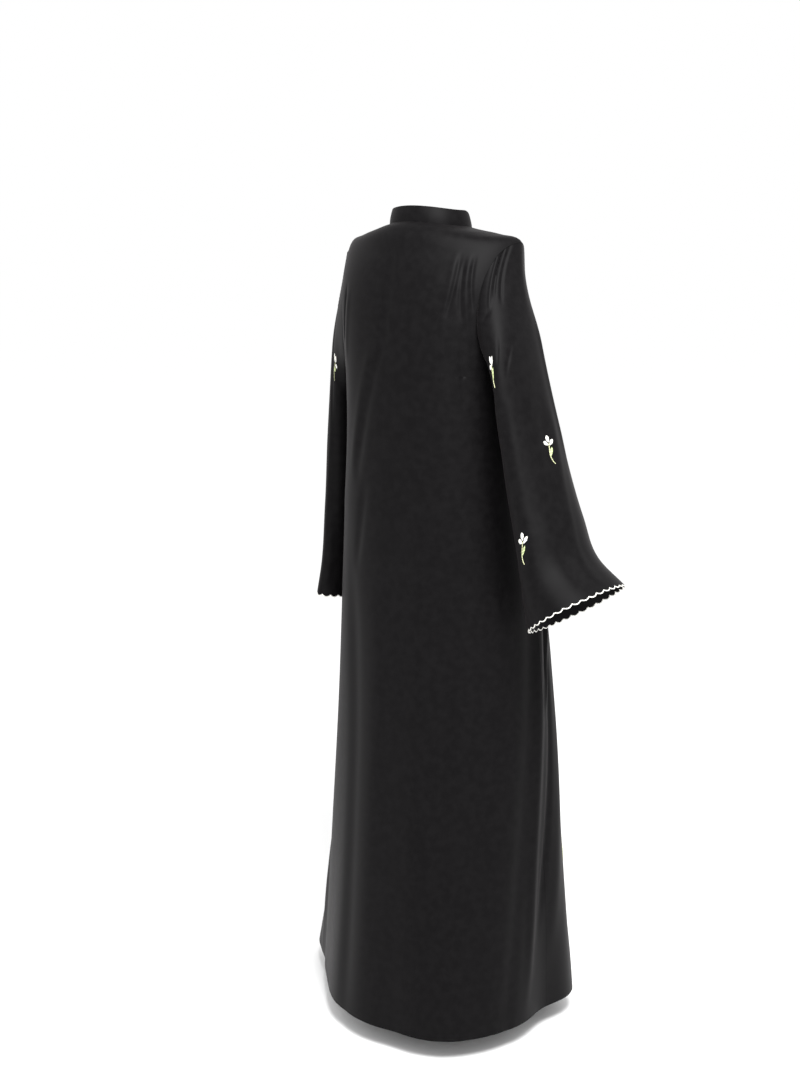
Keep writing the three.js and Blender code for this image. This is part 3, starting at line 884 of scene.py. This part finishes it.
def stem_shape(knots, width, count=40):
    """A narrow padded band along a curve: five points across, raised by sqrt(1 - s^2)."""
    path = smooth_path(knots, count)
    step = unit(np.gradient(path, axis=0))
    side = np.stack([-step[:, 1], step[:, 0]], -1)
    taper = 0.45 + 0.55 * np.sin(np.pi * np.linspace(0.08, 0.92, count)) ** 0.5
    s = np.array([-1, -0.5, 0, 0.5, 1.0])
    flat = path[:, None] + side[:, None] * (s[None, :, None] * width / 2 * taper[:, None, None])
    lift = STEM_HEIGHT * np.sqrt(np.clip(1 - s**2, 0, 1))[None, :] + 0 * flat[..., 0]
    return np.concatenate([flat, lift[..., None]], -1)


print("points of one stem:", stem_shape(STEM, STEM_WIDTH).shape)

# %% Laying the motif on a sleeve or on the body
THREAD_CLEAR = 0.12      # the thread's edge stands just clear of the cloth
PAD_SUNK = -0.35         # the underside of a pad, within the cloth


def lay_on(surface, turn_degrees, size, shape):
    """Turns and scales a flat shape, then asks the surface for the place and the outward normal
    of each point, and lifts the point by the thread's height."""
    turn = np.radians(turn_degrees)
    x = (shape[..., 0] * np.cos(turn) - shape[..., 1] * np.sin(turn)) * size
    y = (shape[..., 0] * np.sin(turn) + shape[..., 1] * np.cos(turn)) * size
    place, normal = surface(x, y)
    return place + normal * (shape[..., 2:] + THREAD_CLEAR)


def on_sleeve(side, turn0, along0):
    """The sleeve round a given place, as a function of millimetres across and up."""
    def spread(turn_step, along_step):
        after = sleeve_point(turn0 + turn_step, along0 + along_step, side)
        before = sleeve_point(turn0 - turn_step, along0 - along_step, side)
        return np.linalg.norm(after - before) / (2 * (turn_step + along_step))

    around = spread(1.0, 0.0)
    down = spread(0.0, 0.01)

    def surface(x, y):
        turn = turn0 - side * x / around
        along = along0 - y / down
        shape = turn.shape
        grid = folded_sleeve(turn.reshape(-1, 1), along.reshape(-1, 1), side)
        return grid[0].reshape(*shape, 3), grid[1].reshape(*shape, 3)

    return surface


def on_body(angle0, level0):
    """The body round a given place, as a function of millimetres across and up."""
    def spread(angle_step, level_step):
        after = body_point(angle0 + angle_step, level0 + level_step)
        before = body_point(angle0 - angle_step, level0 - level_step)
        return np.linalg.norm(after - before) / (2 * (angle_step + level_step))

    around = spread(0.5, 0.0)
    down = spread(0.0, 0.05)

    def surface(x, y):
        angle = angle0 + x / around
        level = level0 - y / down
        shape = angle.shape
        place, normal, _ = folded_body(angle.reshape(-1, 1), level.reshape(-1))
        return place.reshape(*shape, 3), normal.reshape(*shape, 3)

    return surface


def grid_faces(rows, columns, start):
    """Quads of a grid whose points start at a number."""
    index = np.arange(rows * columns).reshape(rows, columns) + start
    quads = np.stack([index[:-1, :-1], index[:-1, 1:], index[1:, 1:], index[1:, :-1]], -1)
    return quads.reshape(-1, 4)


print("faces of one leaf:", len(grid_faces(18, 9, 0)))


# %% The sprigs in their places
# where each lies, its turn in degrees and its size
SPRIGS = {
    "right_upper": (on_sleeve(-1, 94.0, 0.255), 4.0, 1.0),
    "right_middle": (on_sleeve(-1, 11.0, 0.575), -4.0, 1.0),
    "right_lower": (on_sleeve(-1, 93.0, 0.78), 8.0, 1.0),
    "left_upper": (on_sleeve(1, 93.0, 0.28), 6.0, 1.0),
    "left_lower": (on_sleeve(1, 300.0, 0.62), 0.0, 1.0),
    "right_front": (on_sleeve(-1, 285.0, 0.50), 0.0, 1.0),
    "skirt_right": (on_body(-119.0, 11.0), 0.0, 1.0),
    "skirt_left": (on_body(124.0, 9.6), 0.0, 1.0),
}


def sprig_part(name, shapes, surface, turn, size, material):
    """Joins the laid shapes into one closed piece: each has a top grid and the same grid below."""
    points = []
    faces = []
    uv = []
    start = 0
    for shape in shapes:
        top = lay_on(surface, turn, size, shape)
        low = shape.copy()
        low[..., 2] = PAD_SUNK
        bottom = lay_on(surface, turn, size, low)
        rows, columns = shape.shape[:2]
        count = rows * columns
        upper = grid_faces(rows, columns, start)
        lower = upper[:, ::-1] + count
        index = np.arange(count).reshape(rows, columns) + start
        ring = np.concatenate([index[0, :-1], index[:-1, -1], index[-1, :0:-1], index[:0:-1, 0]])
        after = np.roll(ring, -1)
        wall = np.stack([after, ring, ring + count, after + count], -1)
        points += [top.reshape(-1, 3), bottom.reshape(-1, 3)]
        faces += [upper, lower, wall]
        flat = shape[..., :2].reshape(-1, 2)
        uv += [flat[:, ::-1], flat[:, ::-1]]
        start += 2 * count
    points = np.concatenate(points) * MM
    faces = [tuple(face) for face in np.concatenate(faces).tolist()]
    return piece_from(name, points, faces, np.concatenate(uv) * MM, material)


# what each part of a sprig is made of: its shapes, its thread and its slot
SPRIG_PARTS = {
    "buds": ([leaf_shape(*bud) for bud in BUDS], white_thread, "white_thread"),
    "leaf": ([leaf_shape(*LEAF)], leaf_thread, "green_thread"),
    "stem": ([stem_shape(STEM, STEM_WIDTH)], stem_thread, "green_thread"),
}
sprig_pieces = []
for name, (surface, turn, size) in SPRIGS.items():
    for part, (shapes, thread, slot) in SPRIG_PARTS.items():
        piece = sprig_part(f"sprig_{name}_{part}", shapes, surface, turn, size, thread)
        sprig_pieces.append((slot, piece))
total += sum(report(piece) for _, piece in sprig_pieces)
print("triangles in all:", total)

# %% [markdown]
# ## Putting each piece on the body
# Every piece rides on the one body, and each cloth says the size that it was cut to.

# %% Rides, replaced solids and cut sizes
# piece, solid, and the flat width and length in metres
CLOTHS = [
    (back, "back_panel", 0.86, 1.50),
    (left, "front_left", 0.44, 1.48),
    (right, "front_right", 0.44, 1.48),
    (sleeves[-1], "sleeve_right", 0.48, 0.68),
    (sleeves[1], "sleeve_left", 0.40, 0.68),
    (collar_band, "collar_stand", 0.46, 0.028),
]


def flat_area(piece):
    """The area of one face of a closed wall, in square metres: half of all its faces."""
    area = np.empty(len(piece.data.polygons))
    piece.data.polygons.foreach_get("area", area)
    return area.sum() / 2


for piece, node, width, length in CLOTHS:
    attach(piece, BODY)
    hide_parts(node)
    area = min(flat_area(piece), width * length)
    print(node, "area in square metres:", round(float(area), 3), "of", round(width * length, 3))
for side, node in ((-1, "scallop_right"), (1, "scallop_left")):
    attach(edgings[side], BODY)
    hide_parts(node)
for slot, piece in sprig_pieces:
    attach(piece, BODY)

# %% [markdown]
# ## Floor, light and camera
# A pale floor and a white sky give a plain studio. The cloak hangs as far above the floor as it is
# worn. A soft light close to the right shoulder fades on the way down, so the shoulders have a low
# sheen and the skirt is nearly black. An even dome alone would make the whole cloth one grey.

# %% Floor
FLOOR_BELOW_HEM = 0.040
FLOOR_REACH = 90.0       # so far that its end can't be told from the sky
floor_z = cad_box[0][2] - FLOOR_BELOW_HEM
floor_mesh = bpy.data.meshes.new("floor")
corners = [(-1, -1), (1, -1), (1, 1), (-1, 1)]
floor_mesh.from_pydata([(x * FLOOR_REACH, y * FLOOR_REACH, floor_z) for x, y in corners],
                       [], [(0, 1, 2, 3)])
floor = bpy.data.objects.new("floor", floor_mesh)
bpy.context.collection.objects.link(floor)
floor_material, tree = new_material("pale_studio_floor")
shader = add_node(tree, "ShaderNodeBsdfDiffuse", Color=linear("#ffffff"))
add_node(tree, "ShaderNodeOutputMaterial", {"Surface": shader.outputs["BSDF"]})
floor_mesh.materials.append(floor_material)
print("floor at", round(floor_z, 3))

# %% Light
world = bpy.data.worlds.new("studio")
bpy.context.scene.world = world
world.use_nodes = True
world.node_tree.nodes["Background"].inputs["Color"].default_value = linear("#ffffff")
world.node_tree.nodes["Background"].inputs["Strength"].default_value = 1.0


def area_light(name, place, aim, size, power):
    """A square area light at one place, turned towards another, in metres and watts."""
    lamp = bpy.data.lights.new(name, "AREA")
    lamp.size = size
    lamp.energy = power
    lamp_object = bpy.data.objects.new(name, lamp)
    bpy.context.collection.objects.link(lamp_object)
    lamp_object.location = place
    lamp_object.rotation_euler = (Vector(aim) - Vector(place)).to_track_quat("-Z", "Y").to_euler()
    print(name, "light of", power, "watts at", place)


area_light("key", (-1.25, 1.15, 1.15), (-0.1, 0.0, -0.35), 0.9, 95)
area_light("fill", (1.8, 3.0, 0.8), (0.0, 0.0, -0.6), 2.2, 6)

# %% Camera
TURN = np.radians(35.0)          # the camera stands to the right of the middle of the back
DISTANCE = 3.17
HEIGHT = -0.028                  # about level with the collar
TILT = np.radians(9.5)           # downwards
LENS = 58.54
SENSOR = 36
NECK_OFF_MIDDLE = 1.0122         # on the sensor, in millimetres, to the right
PAN = np.arctan2(NECK_OFF_MIDDLE, LENS)
camera_data = bpy.data.cameras.new("camera")
camera_data.lens = LENS
camera_data.sensor_fit = "AUTO"
camera_data.sensor_width = SENSOR
camera = bpy.data.objects.new("camera", camera_data)
bpy.context.collection.objects.link(camera)
camera.location = (-DISTANCE * np.sin(TURN), DISTANCE * np.cos(TURN), HEIGHT)
camera.rotation_euler = (np.pi / 2 - TILT, 0.0, np.pi + TURN + PAN)
bpy.context.scene.camera = camera
bpy.context.scene.view_settings.view_transform = "Standard"
print("camera at", [round(float(value), 3) for value in camera.location])
